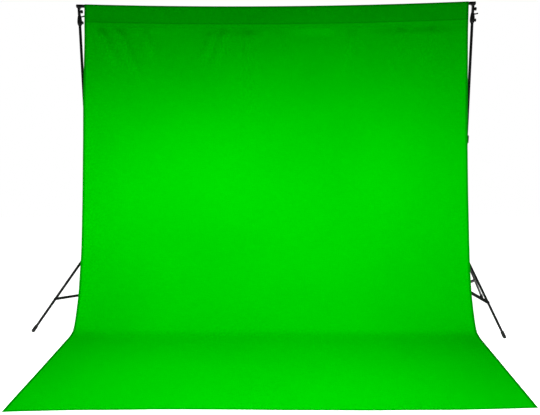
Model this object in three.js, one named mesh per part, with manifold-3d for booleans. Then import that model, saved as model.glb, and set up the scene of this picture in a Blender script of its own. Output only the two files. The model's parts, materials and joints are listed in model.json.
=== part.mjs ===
// A studio background support: two telescopic tripod stands, a sectional crossbar and a hung cloth.
// Millimetres, +Z up, -Y towards the front. The stands' columns stand on the line y = 0.
import * as THREE from "three";
import { mergeVertices } from "three/addons/utils/BufferGeometryUtils.js";
import Module from "manifold-3d";

// Stands: places along the column
const COLUMN_X = 1550;
const BASE_TUBE = { outer: 14, bore: 13, length: 905, belowBraces: 36 };
const MID_TUBE = { outer: 12.5, bore: 11.5, bottom: 550, top: 1496 };
const TOP_TUBE = { outer: 11, bore: 10, bottom: 1410, top: 2457 };
const TUBE_SIDES = 12;
const PIN_SIDES = 8;
const SLIP = 0.4; // gap between pieces that slide or nest

// Stands: the folding legs, in the vertical plane through the column's axis
const PIVOT_RADIUS = 35; // of the leg pivots and of the brace pivots, from the column's axis
const LEG_PIVOT_HEIGHT = 561;
const FOOT_RADIUS = 573;
const LEG_LENGTH = 752;
const LEG_DEPTH = 20;
const LEG_WIDTH = 14;
const LEG_WALL = 1.4;
const BRACE_SHARE = 0.6; // how far down the leg the brace meets it
const BRACE_RISE = { left: 30, right: -30 }; // from the collar to the leg: the hubs are set differently
const BRACE_BAR = { depth: 16, thickness: 3, gap: 18 };
const PIN_RADIUS = 3;
const PIN_HOLE_RADIUS = 3.6;
const EAR = { inner: 7.5, outer: 12, radius: 10 };
const LEG_AZIMUTHS = { left: [228.4, 348.4, 108.4], right: [292.2, 52.2, 172.2] };
const HUB_KNOB_AZIMUTH = { left: 48.4, right: 112.2 };
const FOOT_CAP = { radius: 12, width: 17, length: 44, centre: 762 };

// Crossbar
const BAR = { radius: 12.5, bore: 11.4, height: 2550, halfLength: 1564, sections: 4, sag: 27 };
const SPIGOT = { radius: 10.9, bore: 9.8, length: 60 };

// Cloth: half of its width at heights above the floor, and the line it hangs along
const CLOTH_THICKNESS = 1.2;
const POCKET_BOTTOM = 2430;
const SWEEP_TOP = 50;
const CLOTH_FRONT = -1665;
const FRONT_SKEW = 44;
const CLOTH_SHIFT = { low: -10, rise: 20.5, from: 1500 }; // sideways, more so at the top
const HANG = [
  [-29, POCKET_BOTTOM],
  [-88, 1500],
  [-126, 800],
  [-141, 600],
  [-187, 440],
  [-246, 288],
  [-281, 220],
  [-358, 100],
  [-397, SWEEP_TOP],
];
const SWEEP = [
  [-398, SWEEP_TOP - 1.2],
  [-436, 20],
  [-480, 6],
  [-540, 0.6],
  [CLOTH_FRONT, 0.6],
];
const HALF_WIDTHS = [
  [0, 1590],
  [440, 1590],
  [600, 1586],
  [1000, 1564],
  [1500, 1541],
  [1800, 1530],
  [2350, 1507],
  [2580, 1502],
];

const black = { color: 0x151516, roughness: 0.42, metalness: 0.6 };
const paint = new THREE.MeshStandardMaterial(black);
const plastic = new THREE.MeshStandardMaterial({ color: 0x101011, roughness: 0.6, metalness: 0 });
const rubber = new THREE.MeshStandardMaterial({ color: 0x0b0b0b, roughness: 0.85, metalness: 0 });
const cloth = new THREE.MeshStandardMaterial({ color: 0x05b00c, roughness: 0.9, metalness: 0 });

const wasm = await Module();
wasm.setup();

const model = new THREE.Group();

const rad = THREE.MathUtils.degToRad;

// A closed geometry as a solid that can be joined and cut.
function solid(geometry) {
  const bare = geometry.clone();
  bare.deleteAttribute("normal");
  bare.deleteAttribute("uv");
  const merged = mergeVertices(bare, 1e-3);
  return new wasm.Manifold(
    new wasm.Mesh({
      numProp: 3,
      vertProperties: merged.getAttribute("position").array,
      triVerts: new Uint32Array(merged.index.array),
    }),
  );
}

function geometryOf(body) {
  const mesh = body.getMesh();
  const geometry = new THREE.BufferGeometry();
  geometry.setAttribute("position", new THREE.BufferAttribute(mesh.vertProperties, 3));
  geometry.setIndex(new THREE.BufferAttribute(mesh.triVerts, 1));
  return geometry;
}

function join(...geometries) {
  return geometryOf(geometries.map(solid).reduce((whole, next) => whole.add(next)));
}

function cut(geometry, ...tools) {
  return geometryOf(tools.map(solid).reduce((whole, next) => whole.subtract(next), solid(geometry)));
}

function add(name, geometry, material, parent = model) {
  const mesh = new THREE.Mesh(geometry, material);
  mesh.name = name;
  parent.add(mesh);
  return mesh;
}

// A body turned about Z from a list of [radius, height] points.
function turned(points, sides = TUBE_SIDES) {
  const profile = points.map(([r, z]) => new THREE.Vector2(r, z));
  const closed = points[0][0] > 0;
  if (THREE.ShapeUtils.area(profile) < 0) profile.reverse();
  if (closed) profile.push(profile[0].clone());
  return new THREE.LatheGeometry(profile, sides).rotateX(Math.PI / 2);
}

function ring(bore, outer, bottom, top, sides = TUBE_SIDES) {
  const section = [
    [bore, bottom],
    [outer, bottom],
    [outer, top],
    [bore, top],
  ];
  return turned(section, sides);
}

// A rod along +X from x0 to x1, at height z.
function rodX(radius, x0, x1, z, sides = PIN_SIDES) {
  return new THREE.CylinderGeometry(radius, radius, x1 - x0, sides)
    .rotateZ(Math.PI / 2)
    .translate((x0 + x1) / 2, 0, z);
}

// A rod along Y, centred on y = 0.
function rodY(radius, length, x, z, sides = PIN_SIDES) {
  return new THREE.CylinderGeometry(radius, radius, length, sides).translate(x, 0, z);
}

function block(x0, x1, y0, y1, z0, z1) {
  return new THREE.BoxGeometry(x1 - x0, y1 - y0, z1 - z0)
    .translate((x0 + x1) / 2, (y0 + y1) / 2, (z0 + z1) / 2);
}

// A plate in the XZ plane, centred on y = 0.
function plateXZ(shape, thickness, curveSegments = 4) {
  return new THREE.ExtrudeGeometry(shape, { depth: thickness, bevelEnabled: false, curveSegments })
    .rotateX(Math.PI / 2)
    .translate(0, thickness / 2, 0);
}

// A straight bar with round ends, from the origin along +X, with a hole at its far end.
function linkShape(length, depth, holeRadius) {
  const r = depth / 2;
  const shape = new THREE.Shape();
  shape.moveTo(0, -r);
  shape.lineTo(length, -r);
  shape.absarc(length, 0, r, -Math.PI / 2, Math.PI / 2, false);
  shape.lineTo(0, r);
  shape.absarc(0, 0, r, Math.PI / 2, (3 * Math.PI) / 2, false);
  const hole = new THREE.Path();
  hole.absarc(length, 0, holeRadius, 0, 2 * Math.PI, true);
  shape.holes.push(hole);
  return shape;
}

// A moulded knob with soft lobes, whose threaded stud runs back towards the column. Axis +X.
function knobGeometry({ from, head, radius, depth, neck = 3, lobes = 5, z = 0 }) {
  const outline = [];
  const count = lobes * 4;
  for (let i = 0; i < count; i += 1) {
    const angle = (2 * Math.PI * i) / count;
    const reach = radius * (0.9 + 0.1 * Math.cos(lobes * angle));
    outline.push(new THREE.Vector2(reach * Math.cos(angle), reach * Math.sin(angle)));
  }
  const grip = new THREE.ExtrudeGeometry(new THREE.Shape(outline), { depth, bevelEnabled: false })
    .rotateY(Math.PI / 2)
    .translate(head, 0, z);
  const shank = rodX(radius * 0.5, head - neck, head + 1, z);
  return join(grip, shank, rodX(PIN_RADIUS, from, head + 1, z));
}

// The folding linkage, worked out once for both stands.
const legSlope = Math.atan2(FOOT_RADIUS - PIVOT_RADIUS, LEG_PIVOT_HEIGHT);
const legReach = Math.hypot(FOOT_RADIUS - PIVOT_RADIUS, LEG_PIVOT_HEIGHT);
const braceOnLeg = BRACE_SHARE * legReach;
const braceLength = Math.hypot(braceOnLeg * Math.sin(legSlope), BRACE_RISE.left);
const bracePivotHeight = (side) =>
  LEG_PIVOT_HEIGHT - braceOnLeg * Math.cos(legSlope) - BRACE_RISE[side];

// A leg is drawn along +X from its pivot, its wide faces up and down, its pin along Y.
function legGeometry() {
  const tubeSection = new THREE.Shape();
  const y = LEG_WIDTH / 2;
  const z = LEG_DEPTH / 2;
  const r = 5;
  tubeSection.moveTo(-y + r, -z);
  tubeSection.lineTo(y - r, -z);
  tubeSection.absarc(y - r, -z + r, r, -Math.PI / 2, 0, false);
  tubeSection.lineTo(y, z - r);
  tubeSection.absarc(y - r, z - r, r, 0, Math.PI / 2, false);
  tubeSection.lineTo(-y + r, z);
  tubeSection.absarc(-y + r, z - r, r, Math.PI / 2, Math.PI, false);
  tubeSection.lineTo(-y, -z + r);
  tubeSection.absarc(-y + r, -z + r, r, Math.PI, 1.5 * Math.PI, false);
  const start = -2;
  const options = { depth: LEG_LENGTH - start, bevelEnabled: false, curveSegments: 1 };
  const along = new THREE.Matrix4().makeBasis(
    new THREE.Vector3(0, 1, 0),
    new THREE.Vector3(0, 0, 1),
    new THREE.Vector3(1, 0, 0),
  );
  const outer = new THREE.ExtrudeGeometry(tubeSection, options).applyMatrix4(along);
  outer.translate(start, 0, 0);
  const scaleY = 1 - (2 * LEG_WALL) / LEG_WIDTH;
  const scaleZ = 1 - (2 * LEG_WALL) / LEG_DEPTH;
  const inner = outer.clone().translate(12, 0, 0).scale(1, scaleY, scaleZ);
  const nose = rodY(LEG_DEPTH / 2, LEG_WIDTH - 0.02, 0, 0, 12);
  const hollow = cut(join(outer, nose), inner);
  const head = 1.8;
  const shank = rodY(PIN_RADIUS, 2 * (EAR.outer + SLIP + head), 0, 0);
  const headRight = rodY(5, head, 0, 0).translate(0, EAR.outer + SLIP + head / 2, 0);
  const headLeft = rodY(5, head, 0, 0).translate(0, -EAR.outer - SLIP - head / 2, 0);
  return join(hollow, shank, headRight, headLeft);
}

// A rubber cap on the leg's end, rounded and cut flat where it stands.
function footGeometry() {
  const { radius, width, length, centre } = FOOT_CAP;
  const sleeve = new THREE.BoxGeometry(length, width, 2 * radius).translate(centre - length / 2, 0, 0);
  const toe = rodY(radius, width - 0.02, centre, 0, 16);
  const socketSize = [2 * length, LEG_WIDTH + 0.8, LEG_DEPTH + 0.8];
  const socket = new THREE.BoxGeometry(...socketSize).translate(LEG_LENGTH + 0.5 - length, 0, 0);
  const placed = (geometry) =>
    geometry.rotateY(Math.PI / 2 - legSlope).translate(PIVOT_RADIUS, 0, LEG_PIVOT_HEIGHT);
  const floor = block(0, 900, -50, 50, -100, 0);
  return cut(placed(join(sleeve, toe)), placed(socket), floor);
}

// Two flat bars and the pin that joins them through the collar's lug. Drawn along +X.
function braceGeometry() {
  const shape = linkShape(braceLength, BRACE_BAR.depth, PIN_RADIUS + 0.3);
  const offset = (BRACE_BAR.gap + BRACE_BAR.thickness) / 2;
  const bars = [-offset, offset].map((y) => plateXZ(shape, BRACE_BAR.thickness).translate(0, y, 0));
  const pinLength = BRACE_BAR.gap + 2 * BRACE_BAR.thickness + 3;
  return join(bars[0], bars[1], rodY(PIN_RADIUS, pinLength, 0, 0));
}

// Collar fixed to the base tube, with a lug for each brace.
function braceCollarGeometry(azimuths, pivotHeight) {
  const height = 26;
  const bottom = pivotHeight - height / 2;
  const lugShape = new THREE.Shape();
  const r = 9;
  lugShape.moveTo(16, -r);
  lugShape.lineTo(PIVOT_RADIUS, -r);
  lugShape.absarc(PIVOT_RADIUS, 0, r, -Math.PI / 2, Math.PI / 2, false);
  lugShape.lineTo(16, r);
  const hole = new THREE.Path();
  hole.absarc(PIVOT_RADIUS, 0, PIN_HOLE_RADIUS, 0, 2 * Math.PI, true);
  lugShape.holes.push(hole);
  const lugs = azimuths.map((azimuth) =>
    plateXZ(lugShape, BRACE_BAR.gap - 0.8).translate(0, 0, pivotHeight).rotateZ(rad(azimuth)),
  );
  const bore = cylinderZ(BASE_TUBE.outer + 0.3, 2 * height, pivotHeight);
  return cut(join(ring(10, 20, bottom, bottom + height), ...lugs), bore);
}

function cylinderZ(radius, height, z, sides = TUBE_SIDES) {
  return new THREE.CylinderGeometry(radius, radius, height, sides)
    .rotateX(Math.PI / 2)
    .translate(0, 0, z);
}

// Hub that slides on the base tube, with a pair of ears for each leg and a boss for the knob.
function hubGeometry(azimuths, knobAzimuth) {
  const bottom = LEG_PIVOT_HEIGHT - 22;
  const top = LEG_PIVOT_HEIGHT + 34;
  const earShape = new THREE.Shape();
  earShape.moveTo(16, -20);
  earShape.lineTo(24, -20);
  earShape.lineTo(PIVOT_RADIUS + 4, -EAR.radius);
  earShape.absarc(PIVOT_RADIUS, 0, EAR.radius, -Math.PI / 3, Math.PI / 2, false);
  earShape.lineTo(24, 20);
  earShape.lineTo(16, 24);
  const hole = new THREE.Path();
  hole.absarc(PIVOT_RADIUS, 0, PIN_HOLE_RADIUS, 0, 2 * Math.PI, true);
  earShape.holes.push(hole);
  const thickness = EAR.outer - EAR.inner;
  const middle = (EAR.outer + EAR.inner) / 2;
  const ears = azimuths.flatMap((azimuth) =>
    [-middle, middle].map((y) =>
      plateXZ(earShape, thickness)
        .translate(0, y, LEG_PIVOT_HEIGHT)
        .rotateZ(rad(azimuth)),
    ),
  );
  const boss = rodX(8, 15, 29, LEG_PIVOT_HEIGHT + 20).rotateZ(rad(knobAzimuth));
  const studHole = rodX(PIN_HOLE_RADIUS, 5, 40, LEG_PIVOT_HEIGHT + 20).rotateZ(rad(knobAzimuth));
  const bore = cylinderZ(BASE_TUBE.outer + SLIP, 2 * (top - bottom), LEG_PIVOT_HEIGHT);
  return cut(join(ring(10, 21, bottom, top), ...ears, boss), bore, studHole);
}

// Clamp on the end of a tube: it grips the tube below and its knob presses on the tube inside.
function clampGeometry(tube, inside, bottom, top, azimuth) {
  const grip = tube.outer + 0.3;
  const guide = inside.outer + SLIP;
  const outer = tube.outer + 6;
  const section = [
    [grip, bottom],
    [outer, bottom],
    [outer, top - 3],
    [outer - 3, top],
    [guide, top],
    [guide, tube.top + 0.5],
    [grip, tube.top + 0.5],
  ];
  const knobHeight = (tube.top + top) / 2;
  const boss = block(guide + 2, outer + 9, -9, 9, knobHeight - 9, knobHeight + 9);
  const lugBack = block(-outer - 5, -guide - 2, -6, 6, bottom + 4, tube.top - 2);
  const studHole = rodX(PIN_HOLE_RADIUS, 5, outer + 12, knobHeight);
  const bore = cylinderZ(grip, tube.top - bottom + 40, (tube.top + bottom) / 2 - 19.5);
  const turn = rad(azimuth);
  const solid = join(turned(section), boss.rotateZ(turn), lugBack.rotateZ(turn));
  const body = cut(solid, studHole.rotateZ(turn), bore);
  return { body, knobHeight, knobStart: inside.outer + SLIP, knobHead: outer + 13 };
}

// Socket on top of the column.
function holderGeometry(knobHeight, leverHeight) {
  const bottom = TOP_TUBE.top - 55;
  const top = TOP_TUBE.top + 22;
  const section = [
    [TOP_TUBE.outer + 0.3, bottom],
    [14, bottom],
    [17.5, bottom + 9],
    [19, bottom + 24],
    [18.2, bottom + 38],
    [15.6, bottom + 60],
    [11, top],
    [6.4, top],
    [6.4, TOP_TUBE.top + 4],
    [TOP_TUBE.outer + 0.3, TOP_TUBE.top + 1],
  ];
  const boss = rodX(7, 14, 20, knobHeight);
  const leverBoss = rodX(6, 12, 17.5, leverHeight);
  const studHole = rodX(PIN_HOLE_RADIUS, 4, 30, knobHeight);
  const leverHole = rodX(PIN_HOLE_RADIUS, 4, 30, leverHeight);
  const bore = cylinderZ(TOP_TUBE.outer + 0.3, 40, TOP_TUBE.top - 20);
  return cut(join(turned(section), boss, leverBoss), studHole, leverHole, bore);
}

// Fork that the crossbar's end lies in, on a stem set in the holder.
function cradleGeometry(knobHeight) {
  const stemBottom = TOP_TUBE.top + 5;
  const floor = BAR.height - 1;
  const stem = cylinderZ(5.9, 30, stemBottom + 15, 12);
  const neck = block(-9.5, 9.5, -12, 12, TOP_TUBE.top + 22.5, floor - 15);
  const fork = block(-14, 14, -16.5, 16.5, floor - 16, floor + 10);
  const saddle = rodX(BAR.radius + 0.9, -30, 30, floor, 20);
  const mouth = block(-30, 30, -BAR.radius - 0.9, BAR.radius + 0.9, floor, floor + 30);
  const boss = rodX(7, 8, 12.5, knobHeight);
  const studHole = rodX(PIN_HOLE_RADIUS, 2, 40, knobHeight);
  return cut(join(stem, neck, fork, boss), saddle, mouth, studHole);
}

// Lever screw: a threaded stud with a short grip that leans upwards.
function leverGeometry(z) {
  const grip = rodX(4.8, 0, 24, 0).rotateY(rad(-14)).translate(19.5, 0, z);
  return join(rodX(PIN_RADIUS, 8, 22, z), grip);
}

function addStand(side, x) {
  const stand = new THREE.Group();
  stand.position.x = x;
  model.add(stand);
  const azimuths = LEG_AZIMUTHS[side];
  const braceHeight = bracePivotHeight(side);
  const baseBottom = braceHeight - BASE_TUBE.belowBraces;
  const baseTube = { ...BASE_TUBE, bottom: baseBottom, top: baseBottom + BASE_TUBE.length };
  for (const [name, tube] of [["base", baseTube], ["mid", MID_TUBE], ["top", TOP_TUBE]]) {
    const geometry = ring(tube.bore, tube.outer, tube.bottom, tube.top);
    add(`${side}_${name}_tube`, geometry, paint, stand);
  }
  const plug = [
    [0, baseBottom - 8],
    [11, baseBottom - 8],
    [BASE_TUBE.outer, baseBottom - 5],
    [BASE_TUBE.outer, baseBottom - 0.4],
    [BASE_TUBE.bore - 0.5, baseBottom - 0.4],
    [BASE_TUBE.bore - 0.5, baseBottom + 12],
    [0, baseBottom + 12],
  ];
  add(`${side}_column_plug`, turned(plug), plastic, stand);
  add(`${side}_brace_collar`, braceCollarGeometry(azimuths, braceHeight), plastic, stand);
  add(`${side}_leg_hub`, hubGeometry(azimuths, HUB_KNOB_AZIMUTH[side]), plastic, stand);
  const hubKnob = { from: BASE_TUBE.outer + 1, head: 33, radius: 15, depth: 13 };
  const hubKnobGeometry = knobGeometry({ ...hubKnob, z: LEG_PIVOT_HEIGHT + 20 });
  add(`${side}_hub_knob`, hubKnobGeometry.rotateZ(rad(HUB_KNOB_AZIMUTH[side])), plastic, stand);
  azimuths.forEach((azimuth, i) => {
    const turn = rad(azimuth);
    const leg = legGeometry().rotateY(Math.PI / 2 - legSlope);
    leg.translate(PIVOT_RADIUS, 0, LEG_PIVOT_HEIGHT).rotateZ(turn);
    add(`${side}_leg_${i + 1}`, leg, paint, stand);
    add(`${side}_foot_${i + 1}`, footGeometry().rotateZ(turn), rubber, stand);
    const brace = braceGeometry().rotateY(-Math.asin(BRACE_RISE[side] / braceLength));
    brace.translate(PIVOT_RADIUS, 0, braceHeight).rotateZ(turn);
    add(`${side}_brace_${i + 1}`, brace, paint, stand);
  });
  const clamps = [
    ["base_collar", baseTube, MID_TUBE, 100],
    ["mid_collar", MID_TUBE, TOP_TUBE, 75],
  ];
  for (const [name, tube, inside, azimuth] of clamps) {
    const clamp = clampGeometry(tube, inside, tube.top - 34, tube.top + 26, azimuth);
    add(`${side}_${name}`, clamp.body, plastic, stand);
    const from = { from: clamp.knobStart, head: clamp.knobHead, z: clamp.knobHeight };
    const knob = knobGeometry({ ...from, radius: 16, depth: 13 }).rotateZ(rad(azimuth));
    add(`${side}_${name}_knob`, knob, plastic, stand);
  }
  const holderKnobHeight = TOP_TUBE.top - 35;
  const leverHeight = TOP_TUBE.top + 11;
  const lockKnobHeight = TOP_TUBE.top + 50;
  add(`${side}_bar_holder`, holderGeometry(holderKnobHeight, leverHeight), plastic, stand);
  const holderKnob = { from: TOP_TUBE.outer + SLIP, head: 20.5, radius: 12.5, depth: 8, neck: 0 };
  add(`${side}_holder_knob`, knobGeometry({ ...holderKnob, z: holderKnobHeight }), plastic, stand);
  add(`${side}_lever_screw`, leverGeometry(leverHeight), plastic, stand);
  add(`${side}_bar_cradle`, cradleGeometry(lockKnobHeight), paint, stand);
  const lockKnob = { from: 6, head: 13, radius: 13.5, depth: 15, neck: 0, z: lockKnobHeight };
  add(`${side}_lock_knob`, knobGeometry(lockKnob), plastic, stand);
}

// The crossbar hangs in a shallow curve, lowest in its middle.
function sagAt(x) {
  return BAR.sag * (1 - (x / COLUMN_X) ** 2);
}

function reshape(geometry, change) {
  const position = geometry.getAttribute("position");
  const point = new THREE.Vector3();
  for (let i = 0; i < position.count; i += 1) {
    point.fromBufferAttribute(position, i);
    change(point);
    position.setXYZ(i, point.x, point.y, point.z);
  }
  return geometry;
}

function along(x0, x1, steps) {
  return Array.from({ length: steps + 1 }, (_, i) => x0 + ((x1 - x0) * i) / steps);
}

function barGeometry(section) {
  return reshape(turned(section, 12).rotateY(Math.PI / 2), (p) => {
    p.z += BAR.height - sagAt(p.x);
  });
}

function addCrossbar() {
  const length = (2 * BAR.halfLength) / BAR.sections;
  for (let i = 0; i < BAR.sections; i += 1) {
    const x0 = -BAR.halfLength + i * length;
    const x1 = x0 + length - SLIP;
    const isLast = i === BAR.sections - 1;
    const outside = along(x0, x1, 5).map((x) => [BAR.radius, x]);
    const spigot = [
      [SPIGOT.radius, x1],
      [SPIGOT.radius, x1 + SPIGOT.length],
      [SPIGOT.bore, x1 + SPIGOT.length],
      [SPIGOT.bore, x1 - 8],
    ];
    const boreEnd = isLast ? x1 : x1 - 16;
    const inside = along(boreEnd, x0, 5).map((x) => [BAR.bore, x]);
    const section = isLast ? [...outside, ...inside] : [...outside, ...spigot, ...inside];
    add(`crossbar_section_${i + 1}`, barGeometry(section), paint);
  }
  const end = BAR.halfLength;
  const cap = [
    [0, end - 20],
    [SPIGOT.radius, end - 20],
    [SPIGOT.radius, end + SLIP],
    [BAR.radius + 1, end + SLIP],
    [BAR.radius + 1, end + 4],
    [BAR.radius - 2, end + 7],
    [0, end + 7],
  ];
  add("crossbar_cap_right", barGeometry(cap), plastic);
  add("crossbar_cap_left", barGeometry(cap.map(([r, x]) => [r, -x])), plastic);
}

// Half of the cloth's width at a height, on straight lines between the named heights.
function halfWidthAt(z) {
  const next = Math.max(1, HALF_WIDTHS.findIndex(([height]) => height >= z));
  const [z0, w0] = HALF_WIDTHS[next - 1];
  const [z1, w1] = HALF_WIDTHS[next];
  return THREE.MathUtils.mapLinear(z, z0, z1, w0, w1);
}

// Cloth from a closed outline of [y, z] points, spread to its width and let down with the bar.
function clothGeometry(shape, steps) {
  const options = { depth: 2, steps, bevelEnabled: false, curveSegments: 8 };
  const sheet = new THREE.ExtrudeGeometry(shape, options).translate(0, 0, -1);
  const basis = new THREE.Matrix4().makeBasis(
    new THREE.Vector3(0, 1, 0),
    new THREE.Vector3(0, 0, 1),
    new THREE.Vector3(1, 0, 0),
  );
  return reshape(sheet.applyMatrix4(basis), (p) => {
    const side = p.x;
    const { low, rise, from } = CLOTH_SHIFT;
    const shift = low + (rise * Math.max(0, p.z - from)) / (BAR.height - from);
    const frontShare = THREE.MathUtils.smoothstep(-p.y, 500, -CLOTH_FRONT);
    p.x = side * halfWidthAt(p.z) + shift;
    p.y += FRONT_SKEW * side * frontShare;
    p.z -= sagAt(p.x) * THREE.MathUtils.smoothstep(p.z, SWEEP_TOP, BAR.height);
  });
}

// The line of the cloth thickened to a strip: down one face and back up the other.
function stripShape(line) {
  const half = CLOTH_THICKNESS / 2;
  const points = line.map(([y, z]) => new THREE.Vector2(y, z));
  const normals = points.map((_, i) => {
    const before = points[Math.max(i - 1, 0)];
    const after = points[Math.min(i + 1, points.length - 1)];
    const way = after.clone().sub(before).normalize();
    return new THREE.Vector2(-way.y, way.x);
  });
  const offset = (sign) => points.map((p, i) => p.clone().addScaledVector(normals[i], sign * half));
  return new THREE.Shape([...offset(1), ...offset(-1).reverse()]);
}

// The rod pocket: cloth that runs round the bar and comes back to its stitch line.
function pocketShape() {
  const centre = new THREE.Vector2(0, BAR.height);
  const loop = (radius, stitch) => {
    const toStitch = stitch.clone().sub(centre);
    const bearing = Math.atan2(toStitch.y, toStitch.x);
    const spread = Math.acos(radius / toStitch.length());
    const path = new THREE.Path();
    path.moveTo(stitch.x, stitch.y);
    path.absarc(centre.x, centre.y, radius, bearing + spread, bearing - spread + 2 * Math.PI, false);
    path.lineTo(stitch.x, stitch.y);
    return path;
  };
  const outer = loop(BAR.radius + 2, new THREE.Vector2(HANG[0][0], POCKET_BOTTOM + 0.5));
  const inner = loop(BAR.radius + 0.8, new THREE.Vector2(HANG[0][0] + 1.4, POCKET_BOTTOM + 9));
  const shape = new THREE.Shape(outer.getPoints(5));
  shape.holes.push(new THREE.Path(inner.getPoints(5).reverse()));
  return shape;
}

function addCloth() {
  add("backdrop_pocket", clothGeometry(pocketShape(), 10), cloth);
  add("backdrop_drop", clothGeometry(stripShape(HANG), 8), cloth);
  add("backdrop_sweep", clothGeometry(stripShape(SWEEP), 6), cloth);
}

addStand("left", -COLUMN_X);
addStand("right", COLUMN_X);
addCrossbar();
addCloth();

// The origin is under the middle of the whole object, on the floor.
const extent = new THREE.Box3().setFromObject(model);
const middle = extent.getCenter(new THREE.Vector3());
model.position.set(-middle.x, -middle.y, -extent.min.z);

export default model;
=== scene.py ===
import json
import math

import bmesh
import bpy
from mathutils import Matrix, Vector, noise


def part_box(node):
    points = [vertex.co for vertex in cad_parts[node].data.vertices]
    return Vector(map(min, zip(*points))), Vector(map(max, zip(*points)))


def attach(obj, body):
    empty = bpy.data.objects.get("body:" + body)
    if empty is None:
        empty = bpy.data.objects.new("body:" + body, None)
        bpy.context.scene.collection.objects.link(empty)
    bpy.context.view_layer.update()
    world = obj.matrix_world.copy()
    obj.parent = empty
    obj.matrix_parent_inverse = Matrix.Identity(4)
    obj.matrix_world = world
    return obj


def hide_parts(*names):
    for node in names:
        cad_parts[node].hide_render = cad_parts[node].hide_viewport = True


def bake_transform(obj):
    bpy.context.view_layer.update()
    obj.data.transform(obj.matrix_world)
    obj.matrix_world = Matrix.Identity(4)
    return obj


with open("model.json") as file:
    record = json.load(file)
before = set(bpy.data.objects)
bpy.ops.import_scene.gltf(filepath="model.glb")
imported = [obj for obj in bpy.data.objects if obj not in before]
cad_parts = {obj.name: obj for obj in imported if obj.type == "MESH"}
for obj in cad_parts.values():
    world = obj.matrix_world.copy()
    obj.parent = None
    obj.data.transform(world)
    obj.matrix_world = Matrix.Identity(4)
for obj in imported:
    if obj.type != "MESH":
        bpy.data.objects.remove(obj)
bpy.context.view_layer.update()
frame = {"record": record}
sides = ("left", "right")
joints = {joint["name"]: joint for joint in frame["record"]["behaviour"]["joints"]}


def boxMiddle(node):
    low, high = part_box(node)
    return (low + high) / 2


def columnAxis(side):  # the column's axis, on the floor
    middle = boxMiddle(side + "_base_tube")
    return Vector((middle.x, middle.y, 0))


def bearing(side, part):  # where a turning part points, from its joint's axis
    axis = Vector(joints[side + "_" + part]["axis"])
    if "leg" in part:
        axis = Vector((axis.y, -axis.x, 0))
    return math.atan2(axis.y, axis.x)


def standPlace(side, angle=0.0, height=0.0):  # turned about the column's axis
    lift = Matrix.Translation(columnAxis(side) + Vector((0, 0, height)))
    return lift @ Matrix.Rotation(angle, 4, "Z")


centre = (columnAxis("left") + columnAxis("right")) / 2  # on the floor, midway between the columns
columnX = columnAxis("right").x - centre.x
barRadius = boxMiddle("crossbar_section_2").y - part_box("crossbar_section_2")[0].y
barSag = 0.027
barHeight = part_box("crossbar_section_1")[1].z - barRadius
legs = (1, 2, 3)


class Wire:
    # one node socket that takes part in sums
    def __init__(self, finish, socket):
        self.finish = finish
        self.socket = socket

    def sum(self, operation, a, b=None, clamp=False):
        sockets = {0: a} if b is None else {0: a, 1: b}
        return self.finish.add("Math", {"operation": operation, "use_clamp": clamp}, sockets)

    def __add__(self, other):
        return self.sum("ADD", self, other)

    def __radd__(self, other):
        return self.sum("ADD", other, self)

    def __sub__(self, other):
        return self.sum("SUBTRACT", self, other)

    def __rsub__(self, other):
        return self.sum("SUBTRACT", other, self)

    def __mul__(self, other):
        return self.sum("MULTIPLY", self, other)

    def __rmul__(self, other):
        return self.sum("MULTIPLY", other, self)

    def sine(self):
        return self.sum("SINE", self)

    def size(self):
        return self.sum("ABSOLUTE", self)

    def clamp(self):
        return self.sum("ADD", self, 0.0, clamp=True)

    def smooth(self, low, high, start=0.0, end=1.0):  # start below low, end above high
        settings = {"interpolation_type": "SMOOTHSTEP"}
        sockets = {"Value": self, "From Min": low, "From Max": high, "To Min": start, "To Max": end}
        return self.finish.add("MapRange", settings, sockets)


class Finish:
    # a material with a Principled surface
    def __init__(self, name, **surface):
        self.material = bpy.data.materials.new(name)
        self.material.use_nodes = True
        self.tree = self.material.node_tree
        self.surface = self.tree.nodes["Principled BSDF"]
        for key, value in surface.items():
            self.surface.inputs[key.replace("_", " ")].default_value = value

    def add(self, kind, settings=None, sockets=None, output=0):
        node = self.tree.nodes.new("ShaderNode" + kind)
        for key, value in (settings or {}).items():
            setattr(node, key, value)
        for key, value in (sockets or {}).items():
            self.feed(node.inputs[key], value)
        return Wire(self, node.outputs[output])

    def feed(self, socket, value):
        if isinstance(value, Wire):
            self.tree.links.new(value.socket, socket)
        else:
            socket.default_value = value

    def mix(self, share, a, b):  # colours
        settings = {"data_type": "RGBA", "clamp_factor": True}
        return self.add("Mix", settings, {0: share, 6: a, 7: b}, output=2)

    def noise(self, place, scale, detail=3.0, roughness=0.5):
        sockets = {"Vector": place, "Scale": scale, "Detail": detail, "Roughness": roughness}
        return self.add("TexNoise", None, sockets)

    def place(self, kind="Object"):
        return self.add("TexCoord", None, None, output={"Object": 3, "UV": 2}[kind])

    def stretch(self, place, scale):
        return self.add("Mapping", None, {"Vector": place, "Scale": scale})

    def parts(self, place):
        node = self.add("SeparateXYZ", None, {"Vector": place}).socket.node
        return [Wire(self, output) for output in node.outputs]

    def bump(self, height, distance, strength=1.0):
        sockets = {"Height": height, "Distance": distance, "Strength": strength}
        bumped = self.add("Bump", None, sockets)
        self.set("Normal", bumped)

    def set(self, name, value):
        self.feed(self.surface.inputs[name], value)


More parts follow.
